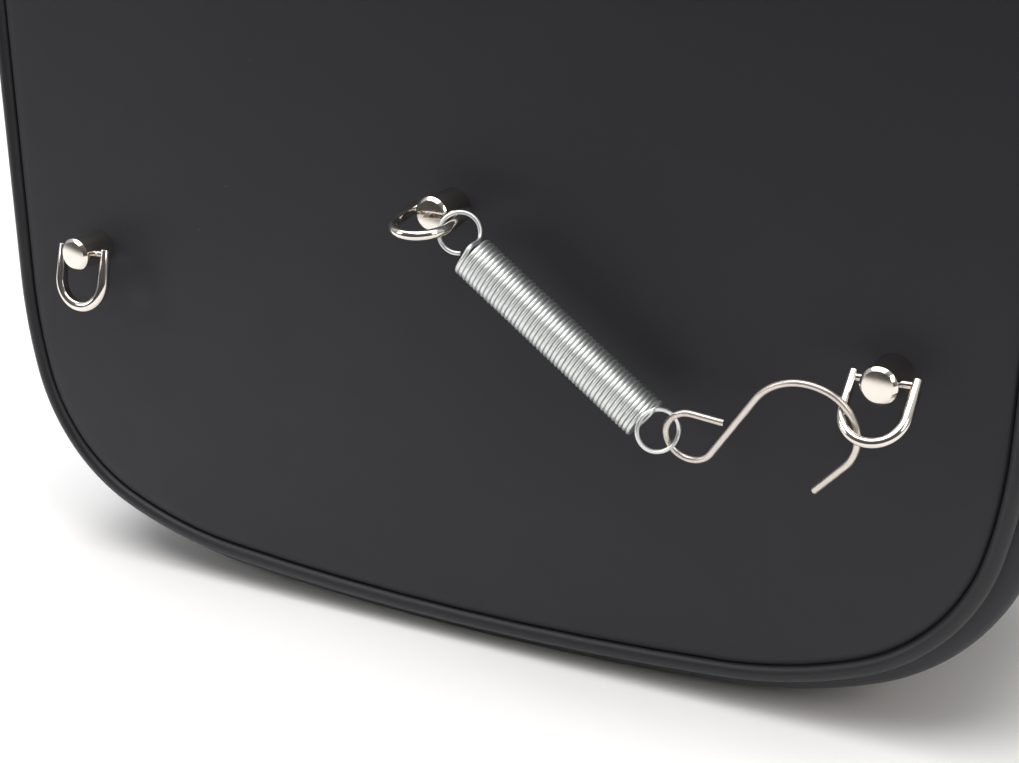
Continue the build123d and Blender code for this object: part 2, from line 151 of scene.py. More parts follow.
# The side of the room that the bag's rear faces is unlit, which gives the metal its dark tones.
dim = add(tree, "MapRange", {"Value": height.outputs["Y"], "From Min": 0.15, "From Max": 0.6,
                             "To Min": 1.0, "To Max": 0.22})
room = add(tree, "Math", {0: glow.outputs[0], 1: dim.outputs[0]}, operation="MULTIPLY")
tree.links.new(room.outputs[0], tree.nodes["Background"].inputs["Strength"])
tree.nodes["Background"].inputs["Color"].default_value = linear("#f8f9fb")
bpy.context.scene.view_settings.view_transform = "Standard"

# ---- Back panel ----
# The stiff rear face: smooth black coated fabric laid over a board and turned in all round, so
# its edge rolls softly into the groove beside the piping.
BACK_Y = 0.050016
GROOVE_LOW = 0.0094
ARCS = ((0.861, 5.0, 4), (0.116, 18.0, 8), (0.0495, 53.5, 22), (0.134, 11.9, 6))
BACK_TOP = 0.296
BACK_CORNER = 0.024
SKIN = 0.0016


def start_point(name, place):
    """A new object with one selected vertex at place, left in edit mode."""
    bpy.ops.mesh.primitive_plane_add(size=0.001, location=(0, 0, 0))
    made = bpy.context.object
    made.name = made.data.name = name
    bpy.ops.object.mode_set(mode="EDIT")
    bpy.ops.mesh.select_mode(type="VERT")
    bpy.ops.mesh.merge(type="CENTER")
    bpy.ops.transform.translate(value=place)
    return made


def extrude(x, y, z):
    bpy.ops.mesh.extrude_region_move(TRANSFORM_OT_translate={"value": (x, y, z)})


def select_where(mesh_object, test, kind="verts"):
    """In edit mode, selects just the vertices, edges or faces whose middle passes the test."""
    bpy.ops.mesh.select_all(action="DESELECT")
    bpy.ops.mesh.select_mode(type={"verts": "VERT", "edges": "EDGE", "faces": "FACE"}[kind])
    shell = bmesh.from_edit_mesh(mesh_object.data)
    for part in getattr(shell, kind):
        if kind == "verts":
            middle = part.co
        else:
            middle = sum((corner.co for corner in part.verts), Vector()) / len(part.verts)
        part.select_set(bool(test(middle, part)))
    shell.select_flush_mode()
    bmesh.update_edit_mesh(mesh_object.data)


def draw_profile(name, points):
    """A chain of edges across the bag at the middle of its bottom, from (outward, y) points."""
    made = start_point(name, (0, points[0][1], GROOVE_LOW - points[0][0]))
    for (off0, y0), (off1, y1) in zip(points, points[1:]):
        extrude(0, y1 - y0, off0 - off1)
    bpy.ops.mesh.select_all(action="SELECT")
    return made


def spin(steps, degrees, centre, axis=(0, 1, 0)):
    bpy.ops.mesh.spin(steps=steps, angle=math.radians(degrees), center=centre, axis=axis)


def sweep_half_outline(top, round_top):
    """Spins and extrudes the selected profile round half of the bag's outline, towards +X."""
    x, z, heading = 0.0, GROOVE_LOW, 0.0
    for radius, turn, steps in ARCS:
        centre = (x - radius * math.sin(heading), 0, z + radius * math.cos(heading))
        spin(steps, turn, centre)
        heading += math.radians(turn)
        x = centre[0] + radius * math.sin(heading)
        z = centre[2] - radius * math.cos(heading)
    run = (top - z) / math.sin(heading)
    last_turn = math.pi - heading
    if round_top:
        run -= BACK_CORNER * math.tan(last_turn / 2)
    for _ in range(10):
        extrude(run / 10 * math.cos(heading), 0, run / 10 * math.sin(heading))
    x += run * math.cos(heading)
    z += run * math.sin(heading)
    if round_top:
        centre = (x - BACK_CORNER * math.sin(heading), 0, z + BACK_CORNER * math.cos(heading))
        spin(12, math.degrees(last_turn), centre)
        x = centre[0]
        for _ in range(6):
            extrude(-x / 6, 0, 0)


def finish_half(made):
    """Leaves edit mode, mirrors the half across the bag's middle and goes back into edit mode to
    merge doubles.
    """
    bpy.ops.object.mode_set(mode="OBJECT")
    mirror = made.modifiers.new("both_sides", "MIRROR")
    mirror.use_clip = True
    mirror.merge_threshold = 0.00002
    bpy.ops.object.modifier_apply(modifier=mirror.name)
    bpy.ops.object.mode_set(mode="EDIT")
    bpy.ops.mesh.select_all(action="SELECT")
    bpy.ops.mesh.remove_doubles(threshold=0.00001)


def close_up(made, smooth_angle=35):
    """Turns the faces outwards, leaves edit mode and shades the piece."""
    bpy.ops.mesh.select_all(action="SELECT")
    bpy.ops.mesh.normals_make_consistent(inside=False)
    bpy.ops.object.mode_set(mode="OBJECT")
    bpy.ops.object.shade_smooth_by_angle(angle=math.radians(smooth_angle))
    bpy.ops.object.select_all(action="DESELECT")


def panel_profile(face_y, out):
    """Chain from the middle of the face, round the rolled edge, to the back of the fabric."""
    roll = ((-0.0080, 0.0), (-0.0042, 0.00002), (-0.0030, 0.00010), (-0.0019, 0.00030),
            (-0.0010, 0.00062), (-0.0004, 0.00105), (-0.0001, SKIN - 0.0001), (-0.0003, SKIN),
            (-0.0080, SKIN))
    return [(off, face_y - out * depth) for off, depth in roll]


def draw_panel(name, face_y, out, top):
    """A closed panel of fabric with a rolled edge; a top below the corners is cut straight."""
    made = draw_profile(name, panel_profile(face_y, out))
    sweep_half_outline(BACK_TOP - 0.0001, True)
    finish_half(made)
    for y in (face_y, face_y - out * SKIN):
        select_where(made, lambda c, e: len(e.link_faces) == 1 and abs(c.y - y) < 0.0001, "edges")
        bpy.ops.mesh.edge_face_add()
    if top < BACK_TOP:
        bpy.ops.mesh.select_all(action="SELECT")
        bpy.ops.mesh.bisect(plane_co=(0, 0, top), plane_no=(0, 0, 1), clear_outer=True,
                            use_fill=True)
    close_up(made, 40)
    return made


back_panel = draw_panel("back_panel_cover", BACK_Y, 1, BACK_TOP)


def coated_fabric(name, dark, light, roughness, grain=1.0):
    """Polyurethane-coated fabric, calendered smooth: a matte black with a faint fine grain, a
    slow mottle from handling, and a few specks of dust that catch the light."""
    material, tree, shader, coordinates = new_material(name)
    mottle = add(tree, "TexNoise", {"Vector": coordinates, "Scale": 1 / 0.045, "Detail": 4.0,
                                    "Roughness": 0.55})
    base = add(tree, "Mix", {0: mottle.outputs["Fac"], 6: linear(dark), 7: linear(light)},
               data_type="RGBA")
    # Dust: one cell each 9 mm, of which few hold a speck 0.3 mm across.
    cells = add(tree, "TexVoronoi", {"Vector": coordinates, "Scale": 1 / 0.009})
    speck = add(tree, "MapRange", {"Value": cells.outputs["Distance"], "From Min": 0.012,
                                   "From Max": 0.024, "To Min": 1.0, "To Max": 0.0})
    pick = add(tree, "SeparateColor", {0: cells.outputs["Color"]})
    few = add(tree, "Math", {0: pick.outputs[0], 1: 0.72}, operation="GREATER_THAN")
    dust = add(tree, "Math", {0: speck.outputs[0], 1: few.outputs[0]}, operation="MULTIPLY")
    weak = add(tree, "Math", {0: dust.outputs[0], 1: 0.35}, operation="MULTIPLY")
    dusty = add(tree, "Mix", {0: weak.outputs[0], 6: base.outputs[2], 7: linear("#8d8b88")},
                data_type="RGBA")
    tree.links.new(dusty.outputs[2], shader.inputs["Base Color"])
    # Grain: pebbles 0.7 mm across with finer pores, and waves 30 mm long where the board shows.
    pebbles = add(tree, "TexVoronoi", {"Vector": coordinates, "Scale": 1 / 0.0007})
    pores = add(tree, "TexNoise", {"Vector": coordinates, "Scale": 1 / 0.0003, "Detail": 2.0})
    fine = add(tree, "Bump", {"Height": pebbles.outputs["Distance"], "Strength": 0.10 * grain,
                              "Distance": 0.00003})
    finer = add(tree, "Bump", {"Height": pores.outputs["Fac"], "Normal": fine.outputs[0],
                               "Strength": 0.12 * grain, "Distance": 0.00002})
    slow = add(tree, "TexNoise", {"Vector": coordinates, "Scale": 1 / 0.030, "Detail": 1.0})
    wave = add(tree, "Bump", {"Height": slow.outputs["Fac"], "Normal": finer.outputs[0],
                              "Strength": 0.35, "Distance": 0.0004})
    tree.links.new(wave.outputs[0], shader.inputs["Normal"])
    rub = add(tree, "TexNoise", {"Vector": coordinates, "Scale": 1 / 0.012, "Detail": 5.0})
    gloss = add(tree, "MapRange", {"Value": rub.outputs["Fac"], "To Min": roughness - 0.05,
                                   "To Max": roughness + 0.06})
    tree.links.new(gloss.outputs[0], shader.inputs["Roughness"])
    shader.inputs["Specular IOR Level"].default_value = 0.42
    shader.inputs["Sheen Weight"].default_value = 0.06
    shader.inputs["Sheen Roughness"].default_value = 0.4
    return material


def wear(mesh_object, material):
    mesh_object.data.materials.clear()
    mesh_object.data.materials.append(material)


panel_fabric = coated_fabric("coated_fabric_calendered", "#15151b", "#1a1a21", 0.58)
wear(back_panel, panel_fabric)
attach(back_panel, "bag")
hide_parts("back_panel")

# ---- Piping round the back panel ----
# A cord 4.4 mm thick wrapped in the same fabric and sewn into the seam. It stands a little
# proud of the panel and ends where the flap's fabric comes down over the upper corners.
PIPING_R = 0.0022
PIPING_PROUD = 0.0006


def draw_piping(name, y, top):
    made = start_point(name, (0, y, GROOVE_LOW - 2 * PIPING_R))
    spin(16, 360, (0, y, GROOVE_LOW - PIPING_R), (1, 0, 0))
    bpy.ops.mesh.select_all(action="SELECT")
    bpy.ops.mesh.remove_doubles(threshold=0.00001)
    bpy.ops.mesh.select_all(action="SELECT")
    sweep_half_outline(top, False)
    extrude(0, 0, 0.0006)
    bpy.ops.transform.resize(value=(0.85, 0.85, 1))
    extrude(0, 0, 0.0005)
    bpy.ops.transform.resize(value=(0.5, 0.5, 1))
    bpy.ops.mesh.edge_face_add()
    finish_half(made)
    close_up(made, 60)
    return made


piping_fabric = coated_fabric("coated_fabric_stretched_over_cord", "#141418", "#1a1a1f", 0.47, 0.6)
back_piping = draw_piping("back_piping_cord", BACK_Y + PIPING_PROUD - PIPING_R,
                          BACK_TOP - BACK_CORNER)
wear(back_piping, piping_fabric)
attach(back_piping, "bag")
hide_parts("back_piping")

# ---- Gusset ----
# One long band of coated fabric round the bottom and both sides. It swells out from the seams
# over its filling, is pressed flat where the bag stands, and turns in behind the panels.
FRONT_Y = -0.064984
PANEL_STACK = 0.0038
GUSSET_PROUD = 0.0099
GUSSET_ROUND = 0.0072
RIM_Z = 0.280


def gusset_half_profile(face_y, out):
    """Points from the turned-in edge behind a panel out to where the band runs level."""
    seam = face_y - out * PANEL_STACK
    chain = [(-0.0045, seam), (-0.0005, seam), (GUSSET_PROUD - GUSSET_ROUND, seam + out * 0.0001)]
    for k in range(1, 9):
        turn = math.radians(90 * k / 8)
        chain.append((GUSSET_PROUD - GUSSET_ROUND * (1 - math.sin(turn)),
                      seam - out * GUSSET_ROUND * (1 - math.cos(turn))))
    return chain


back_part = gusset_half_profile(BACK_Y, 1)
front_part = gusset_half_profile(FRONT_Y, -1)
level_from, level_to = back_part[-1][1], front_part[-1][1]
level = [(GUSSET_PROUD, level_from + (level_to - level_from) * k / 12) for k in range(1, 12)]
gusset = draw_profile("gusset_band", back_part + level + front_part[::-1])
sweep_half_outline(RIM_Z + 0.004, False)
bpy.ops.mesh.select_all(action="SELECT")
bpy.ops.mesh.bisect(plane_co=(0, 0, RIM_Z), plane_no=(0, 0, 1), clear_outer=True)
finish_half(gusset)
# The band isn't quite even: it sags and fills by a few tenths of a millimetre between seams.
bpy.ops.object.mode_set(mode="OBJECT")
for vertex in gusset.data.vertices:
    depth = min(BACK_Y - vertex.co.y, vertex.co.y - FRONT_Y)
    loose = min(1.0, max(0.0, (depth - 0.008) / 0.02)) * min(1.0, (RIM_Z - vertex.co.z) / 0.03)
    swell = noise.noise(vertex.co / 0.035) * 0.0006 * loose
    vertex.co += Vector((vertex.co.x, 0, vertex.co.z - 0.15)).normalized() * swell
    vertex.co.z = max(vertex.co.z, 0.0)
wall = gusset.modifiers.new("fabric", "SOLIDIFY")
wall.thickness = SKIN
wall.offset = -1.0
bpy.ops.object.mode_set(mode="EDIT")
bpy.ops.mesh.select_all(action="SELECT")
bpy.ops.mesh.normals_make_consistent(inside=False)
bpy.ops.object.mode_set(mode="OBJECT")
bpy.ops.object.modifier_apply(modifier=wall.name)
bpy.ops.object.shade_smooth_by_angle(angle=math.radians(50))
bpy.ops.object.select_all(action="DESELECT")
wear(gusset, panel_fabric)
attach(gusset, "bag")
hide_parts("gusset")

# ---- Front panel and its piping ----
# The same build on the street side, a little lower, so that the flap closes over it. Boards of
# pressed fibre stiffen both panels and the floor of the bag.
front_panel = draw_panel("front_panel_cover", FRONT_Y, -1, RIM_Z)
wear(front_panel, panel_fabric)
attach(front_panel, "bag")
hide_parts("front_panel")

front_piping = draw_piping("front_piping_cord", FRONT_Y - PIPING_PROUD + PIPING_R, RIM_Z - 0.0016)
wear(front_piping, piping_fabric)
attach(front_piping, "bag")
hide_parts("front_piping")

fibre_board, tree, shader, coordinates = new_material("fibre_board_pressed")
# Fibres 3 mm long, pressed into a dark grey sheet with a dull face.
fibres = add(tree, "TexNoise", {"Vector": coordinates, "Scale": 1 / 0.003, "Detail": 6.0,
                                "Distortion": 1.2})
fibre_tint = add(tree, "Mix", {0: fibres.outputs["Fac"], 6: linear("#3a3836"),
                               7: linear("#565350")}, data_type="RGBA")
tree.links.new(fibre_tint.outputs[2], shader.inputs["Base Color"])
felt = add(tree, "Bump", {"Height": fibres.outputs["Fac"], "Strength": 0.3, "Distance": 0.00008})
tree.links.new(felt.outputs[0], shader.inputs["Normal"])
shader.inputs["Roughness"].default_value = 0.85
for node in ("back_board", "front_board", "base_board", "flap_board"):
    wear(frame["nodes"][node], fibre_board)

# ---- Lining ----
# A loose inner bag of plain-woven polyester, sewn in at the rim. It lies against the boards and
# the gusset with shallow slack between its seams.
LINING_OFF = 0.0079
LINING_T = 0.0005
LINING_BACK_Y = BACK_Y - PANEL_STACK - 0.0042
LINING_FRONT_Y = FRONT_Y + PANEL_STACK + SKIN + 0.0004
LINING_FLOOR = 0.0020
LINING_ROUND = 0.004


def lining_corner(wall_y, out):
    chain = [(-0.008, wall_y), (LINING_OFF - LINING_ROUND, wall_y)]
    for k in range(1, 5):
        turn = math.radians(90 * k / 4)
        chain.append((LINING_OFF - LINING_ROUND * (1 - math.sin(turn)),
                      wall_y - out * LINING_ROUND * (1 - math.cos(turn))))
    return chain


back_side = lining_corner(LINING_BACK_Y, 1)
front_side = lining_corner(LINING_FRONT_Y, -1)
span = (back_side[-1][1], front_side[-1][1])
between = [(LINING_OFF, span[0] + (span[1] - span[0]) * k / 8) for k in range(1, 8)]
lining = draw_profile("lining_bag", back_side + between + front_side[::-1])
sweep_half_outline(BACK_TOP, True)
finish_half(lining)
for wall_y in (LINING_BACK_Y, LINING_FRONT_Y):
    select_where(lining, lambda c, e: len(e.link_faces) == 1 and abs(c.y - wall_y) < 0.0001,
                 "edges")
    bpy.ops.mesh.edge_face_add()
bpy.ops.mesh.select_all(action="SELECT")
bpy.ops.mesh.bisect(plane_co=(0, 0, RIM_Z), plane_no=(0, 0, 1), clear_outer=True)
for k in range(1, 24):
    bpy.ops.mesh.select_all(action="SELECT")
    bpy.ops.mesh.bisect(plane_co=(0, 0, 0.012 * k), plane_no=(0, 0, 1))
for k in range(-12, 13):
    bpy.ops.mesh.select_all(action="SELECT")
    bpy.ops.mesh.bisect(plane_co=(0.012 * k, 0, 0), plane_no=(1, 0, 0))
bpy.ops.mesh.select_all(action="SELECT")
bpy.ops.mesh.normals_make_consistent(inside=False)
bpy.ops.object.mode_set(mode="OBJECT")
for vertex in lining.data.vertices:
    slack = min(1.0, (RIM_Z - vertex.co.z) / 0.03) * (0.5 + 0.5 * noise.noise(vertex.co / 0.045))
    vertex.co -= vertex.normal * slack * 0.0012
    vertex.co.z = max(vertex.co.z, LINING_FLOOR)
cloth_wall = lining.modifiers.new("cloth", "SOLIDIFY")
cloth_wall.thickness = LINING_T
cloth_wall.offset = -1.0
bpy.ops.object.modifier_apply(modifier=cloth_wall.name)
bpy.ops.object.shade_smooth_by_angle(angle=math.radians(60))
bpy.ops.object.select_all(action="DESELECT")


def woven_cloth(name, dark, light):
    """Plain-woven polyester: warp and weft 0.5 mm apart, drawn at 1 mm so that they show."""
    material, tree, shader, coordinates = new_material(name)
    warp = add(tree, "TexWave", {"Vector": coordinates, "Scale": 0.5 / 0.001 / 3.1416,
                                 "Distortion": 0.6, "Detail": 1.0}, bands_direction="X")
    weft = add(tree, "TexWave", {"Vector": coordinates, "Scale": 0.5 / 0.001 / 3.1416,
                                 "Distortion": 0.6, "Detail": 1.0}, bands_direction="Z")
    weave = add(tree, "Math", {0: warp.outputs["Fac"], 1: weft.outputs["Fac"]},
                operation="MULTIPLY")
    patch = add(tree, "TexNoise", {"Vector": coordinates, "Scale": 1 / 0.02, "Detail": 3.0})
    share = add(tree, "Math", {0: weave.outputs[0], 1: patch.outputs["Fac"]}, operation="ADD")
    tone = add(tree, "Mix", {0: share.outputs[0], 6: linear(dark), 7: linear(light)},
               data_type="RGBA", clamp_factor=True)
    tree.links.new(tone.outputs[2], shader.inputs["Base Color"])
    relief = add(tree, "Bump", {"Height": weave.outputs[0], "Strength": 0.35, "Distance": 0.0001})
    tree.links.new(relief.outputs[0], shader.inputs["Normal"])
    shader.inputs["Roughness"].default_value = 0.72
    shader.inputs["Sheen Weight"].default_value = 0.25
    shader.inputs["Sheen Roughness"].default_value = 0.5
    return material


lining_cloth = woven_cloth("polyester_plain_woven", "#26262b", "#3c3c43")
wear(lining, lining_cloth)
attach(lining, "bag")
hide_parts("lining")

# ---- Rim binding ----
# Fabric tape folded over the raw top edges of the gusset, the front panel and the lining, and
# sewn through with one row of black thread.


def broken_edges(node, name, width, material, segments=2):
    """A copy of a CAD piece with its sharp edges rounded over; it stands for that node."""
    made = bpy.data.objects.new(name, frame["nodes"][node].data.copy())
    made.data.name = name
    bpy.context.scene.collection.objects.link(made)
    bpy.context.view_layer.objects.active = made
    made.select_set(True)
    bpy.ops.mesh.customdata_custom_splitnormals_clear()
    bpy.ops.object.mode_set(mode="EDIT")
    bpy.ops.mesh.select_all(action="SELECT")
    bpy.ops.mesh.remove_doubles(threshold=0.000002)
    bpy.ops.mesh.dissolve_limited(angle_limit=math.radians(0.5))
    bpy.ops.object.mode_set(mode="OBJECT")
    edge = made.modifiers.new("edges", "BEVEL")
    edge.width = width
    edge.segments = segments
    edge.limit_method = "ANGLE"
    edge.angle_limit = math.radians(32)
    bpy.ops.object.modifier_apply(modifier=edge.name)
    bpy.ops.object.shade_smooth_by_angle(angle=math.radians(32))
    bpy.ops.object.select_all(action="DESELECT")
    wear(made, material)
    body = frame["nodes"][node]["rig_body"]
    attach(made, body)
    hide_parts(node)
    return made


broken_edges("rim_binding", "rim_binding_tape", 0.0011, piping_fabric, 4)

# ---- Rack hooks ----
# Two straps of 2.5 mm steel bent over the rack's 12 mm tube, powder-coated black, each riveted
# through the back panel to a backing plate. A rubber liner grips the tube.
powder_coat, tree, shader, coordinates = new_material("steel_powder_coated")
# Orange peel 1.2 mm across gives the satin coat a soft, broken reflection.
peel = add(tree, "TexNoise", {"Vector": coordinates, "Scale": 1 / 0.0012, "Detail": 2.0})
coat_tint = add(tree, "Mix", {0: peel.outputs["Fac"], 6: linear("#161617"), 7: linear("#1d1d1f")},
                data_type="RGBA")
tree.links.new(coat_tint.outputs[2], shader.inputs["Base Color"])
dimple = add(tree, "Bump", {"Height": peel.outputs["Fac"], "Strength": 0.25, "Distance": 0.00004})
tree.links.new(dimple.outputs[0], shader.inputs["Normal"])
shader.inputs["Roughness"].default_value = 0.38

liner_rubber, tree, shader, coordinates = new_material("rubber_moulded")
# Moulded rubber: dead matt, a shade browner than the steel, with a fine spark-eroded grain.
grain = add(tree, "TexNoise", {"Vector": coordinates, "Scale": 1 / 0.0004, "Detail": 3.0})
rubber_tint = add(tree, "Mix", {0: grain.outputs["Fac"], 6: linear("#1b1a19"),
                                7: linear("#262423")}, data_type="RGBA")
tree.links.new(rubber_tint.outputs[2], shader.inputs["Base Color"])
skin_grain = add(tree, "Bump", {"Height": grain.outputs["Fac"], "Strength": 0.2,
                                "Distance": 0.00003})
tree.links.new(skin_grain.outputs[0], shader.inputs["Normal"])
shader.inputs["Roughness"].default_value = 0.8

zinc_plate, tree, shader, coordinates = new_material("steel_zinc_plated")
# Bright zinc: a bluish grey metal whose plating spangles in patches 1.5 mm across.
spangle = add(tree, "TexVoronoi", {"Vector": coordinates, "Scale": 1 / 0.0015})
patches = add(tree, "SeparateColor", {0: spangle.outputs["Color"]})
zinc_tint = add(tree, "Mix", {0: patches.outputs[0], 6: linear("#b4b6b8"), 7: linear("#d2d4d6")},
                data_type="RGBA")
tree.links.new(zinc_tint.outputs[2], shader.inputs["Base Color"])
zinc_gloss = add(tree, "MapRange", {"Value": patches.outputs[1], "To Min": 0.28, "To Max": 0.4})
tree.links.new(zinc_gloss.outputs[0], shader.inputs["Roughness"])
shader.inputs["Metallic"].default_value = 1.0

for side in ("left", "right"):
    broken_edges("rack_hook_" + side, "rack_hook_strap_" + side, 0.0004, powder_coat, 3)
    broken_edges("hook_liner_" + side, "hook_liner_rubber_" + side, 0.00025, liner_rubber)
broken_edges("hook_backplates", "hook_backing_plates", 0.0002, zinc_plate)
broken_edges("hook_rivets", "hook_rivets_set", 0.00045, zinc_plate, 3)

# ---- Ring studs ----
# Three turned brass posts, bright nickel plated, screwed on from inside through washers. Each
# carries a cast ring whose pins turn in the post.
nickel, tree, shader, coordinates = new_material("brass_nickel_plated_polished")
# Nickel is a warm white metal. Handling leaves hairlines 0.2 mm apart and a faint haze.
haze = add(tree, "TexNoise", {"Vector": coordinates, "Scale": 1 / 0.004, "Detail": 3.0})
nickel_tint = add(tree, "Mix", {0: haze.outputs["Fac"], 6: linear("#d6cfc6"), 7: linear("#e6dfd7")},
                  data_type="RGBA")
tree.links.new(nickel_tint.outputs[2], shader.inputs["Base Color"])
nickel_gloss = add(tree, "MapRange", {"Value": haze.outputs["Fac"], "To Min": 0.06, "To Max": 0.15})
tree.links.new(nickel_gloss.outputs[0], shader.inputs["Roughness"])
hairlines = add(tree, "TexNoise", {"Vector": coordinates, "Scale": 1 / 0.0008, "Detail": 4.0,
                                   "Distortion": 0.4})
buffed = add(tree, "Bump", {"Height": hairlines.outputs["Fac"], "Strength": 0.12,
                            "Distance": 0.00002})
tree.links.new(buffed.outputs[0], shader.inputs["Normal"])
shader.inputs["Metallic"].default_value = 1.0

for place in ("left", "mid", "right"):
    broken_edges("stud_" + place, "stud_post_" + place, 0.00018, nickel, 3)
    broken_edges("ring_" + place, "stud_ring_" + place, 0.00022, nickel, 3)
# The free ring is cast a little thicker than its drawn bar, except near its pins. The two linked
# rings have no room for that between the spring's loop and the S-hook.
RING_GROWTH = 0.0003
free_ring = bpy.data.objects["stud_ring_left"]
moves = []
for vertex in free_ring.data.vertices:
    from_pin = math.hypot(vertex.co.y - 0.057216, vertex.co.z - 0.0956)
    moves.append(vertex.normal * RING_GROWTH * min(1.0, max(0.0, (from_pin - 0.0014) / 0.0012)))
for vertex, move in zip(free_ring.data.vertices, moves):
    vertex.co += move
broken_edges("stud_screws", "stud_screws_set", 0.0003, zinc_plate)
broken_edges("stud_washers", "stud_washers_set", 0.00015, zinc_plate)

# ---- Extension spring ----
# One steel wire 1.18 mm thick, bright zinc plated: a side loop round the middle ring, forty-nine
# close turns, and a full loop that stands off the coil's front edge for the S-hook.
WIRE_R = 0.00059
COIL_R = 0.00506
MID_FOOT = Vector((0, 0.050016, 0.1208))
RIGHT_FOOT = Vector((-0.1152, 0.050016, 0.0956))
coil_top = MID_FOOT + Vector((-0.0127, 0.0140, -0.0079))
coil_end = RIGHT_FOOT + Vector((0.0558, 0.01305, -0.0169))
coil_axis = (coil_end - coil_top).normalized()
coil_face = Vector((-0.46, 0.83, 0.32))
coil_face = (coil_face - coil_axis * coil_axis.dot(coil_face)).normalized()
coil_side = coil_face.cross(coil_axis)
if coil_side.z < 0:
    coil_side = -coil_side


def from_coil(start, side, face, along):
    """A point given by how far it lies up-right of, in front of and along the coil's axis."""
    return start + coil_side * side + coil_face * face + coil_axis * along


def ease(start, start_heading, end, end_heading, steps):
    """Points of a smooth bend between two places, leaving out both ends."""
    reach = (end - start).length * 1.1
    bend = []
    for k in range(1, steps):
        t = k / steps
        bend.append(start * (2 * t ** 3 - 3 * t ** 2 + 1) + end * (3 * t ** 2 - 2 * t ** 3)
                    + start_heading.normalized() * reach * (t ** 3 - 2 * t ** 2 + t)
                    + end_heading.normalized() * reach * (t ** 3 - t ** 2))
    return bend


def wire_through(name, points, radius, rim=3):
    """A round wire through the points, with closed ends, as a mesh."""
    bpy.ops.curve.primitive_bezier_curve_add(location=(0, 0, 0))
    made = bpy.context.object
    made.name = made.data.name = name
    made.data.splines.clear()
    line = made.data.splines.new("POLY")
    line.points.add(len(points) - 1)
    for spot, place in zip(line.points, points):
        spot.co = (*place, 1.0)
    made.data.dimensions = "3D"
    made.data.bevel_depth = radius
    made.data.bevel_resolution = rim
    made.data.use_fill_caps = True
    bpy.ops.object.convert(target="MESH")
    made = bpy.context.object
    bpy.ops.object.shade_smooth_by_angle(angle=math.radians(50))
    bpy.ops.object.select_all(action="DESELECT")
    return made


top_middle = MID_FOOT + Vector((-0.0093, 0.0135, -0.0029))
wire = []
for degrees in range(226, -61, -8):
    turn = math.radians(degrees)
    wire.append(top_middle + (coil_side * math.cos(turn) - coil_axis * math.sin(turn)) * COIL_R)
over_front = from_coil(coil_top, 0.0004, 0.0051, -0.0003)
heading = wire[-1] - wire[-2]
wire += ease(wire[-1], heading, over_front, -coil_side + coil_axis * 0.15, 10) + [over_front]
wound_length = (coil_end - coil_top).length - 0.0004
first, step = 110, 12
steps = (360 * 48 + 240) // step
for k in range(steps + 1):
    turn = math.radians(first + step * k)
    wire.append(from_coil(coil_top, COIL_R * math.cos(turn), COIL_R * math.sin(turn),
                          0.0002 + wound_length * k / steps))
# The last loop rises off the coil's front edge, and its cut end lies over its own start.
loop = []
for degrees in range(-118, 235, 8):
    turn = math.radians(degrees)
    rise = (0.0009 + 0.0049 * (1 - math.sin(turn)) / 2) + 0.0011 * max(0, degrees - 150) / 84
    loop.append(from_coil(coil_end, -COIL_R * math.cos(turn), rise,
                          0.0041 + COIL_R * math.sin(turn) + 0.167 * (rise - 0.0009)))
wire += ease(wire[-1], wire[-1] - wire[-2], loop[0], loop[1] - loop[0], 8) + loop
spring = wire_through("extension_spring_wire", wire, WIRE_R, 2)

zinc_wire, tree, shader, coordinates = new_material("spring_wire_zinc_plated")
# Drawn wire keeps fine lengthwise marks; the plating is a cool white with slight clouding.
cloud = add(tree, "TexNoise", {"Vector": coordinates, "Scale": 1 / 0.0022, "Detail": 4.0})
wire_tint = add(tree, "Mix", {0: cloud.outputs["Fac"], 6: linear("#d6d9d9"), 7: linear("#e8eae9")},
                data_type="RGBA")
tree.links.new(wire_tint.outputs[2], shader.inputs["Base Color"])
wire_gloss = add(tree, "MapRange", {"Value": cloud.outputs["Fac"], "To Min": 0.36, "To Max": 0.44})
tree.links.new(wire_gloss.outputs[0], shader.inputs["Roughness"])
shader.inputs["Metallic"].default_value = 1.0
wear(spring, zinc_wire)
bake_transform(spring)
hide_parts("spring_coil", "spring_top_loop", "spring_low_loop")

# ---- S-hook ----
# Stainless wire 1.7 mm thick, bent cold to an open S and cropped square; the jaws leave the cut
# faces pale.
stainless, tree, shader, coordinates = new_material("stainless_wire_drawn")
# Drawing leaves streaks 0.25 mm apart; the metal is a warm grey with a satin reflection.
streak = add(tree, "TexNoise", {"Vector": coordinates, "Scale": 1 / 0.0025, "Detail": 5.0})
steel_tint = add(tree, "Mix", {0: streak.outputs["Fac"], 6: linear("#c9c0b7"),
                               7: linear("#e0d8d0")}, data_type="RGBA")
tree.links.new(steel_tint.outputs[2], shader.inputs["Base Color"])
steel_gloss = add(tree, "MapRange", {"Value": streak.outputs["Fac"], "To Min": 0.32,
                                     "To Max": 0.42})
tree.links.new(steel_gloss.outputs[0], shader.inputs["Roughness"])
shader.inputs["Metallic"].default_value = 1.0
broken_edges("s_hook", "s_hook_wire", 0.00012, stainless)

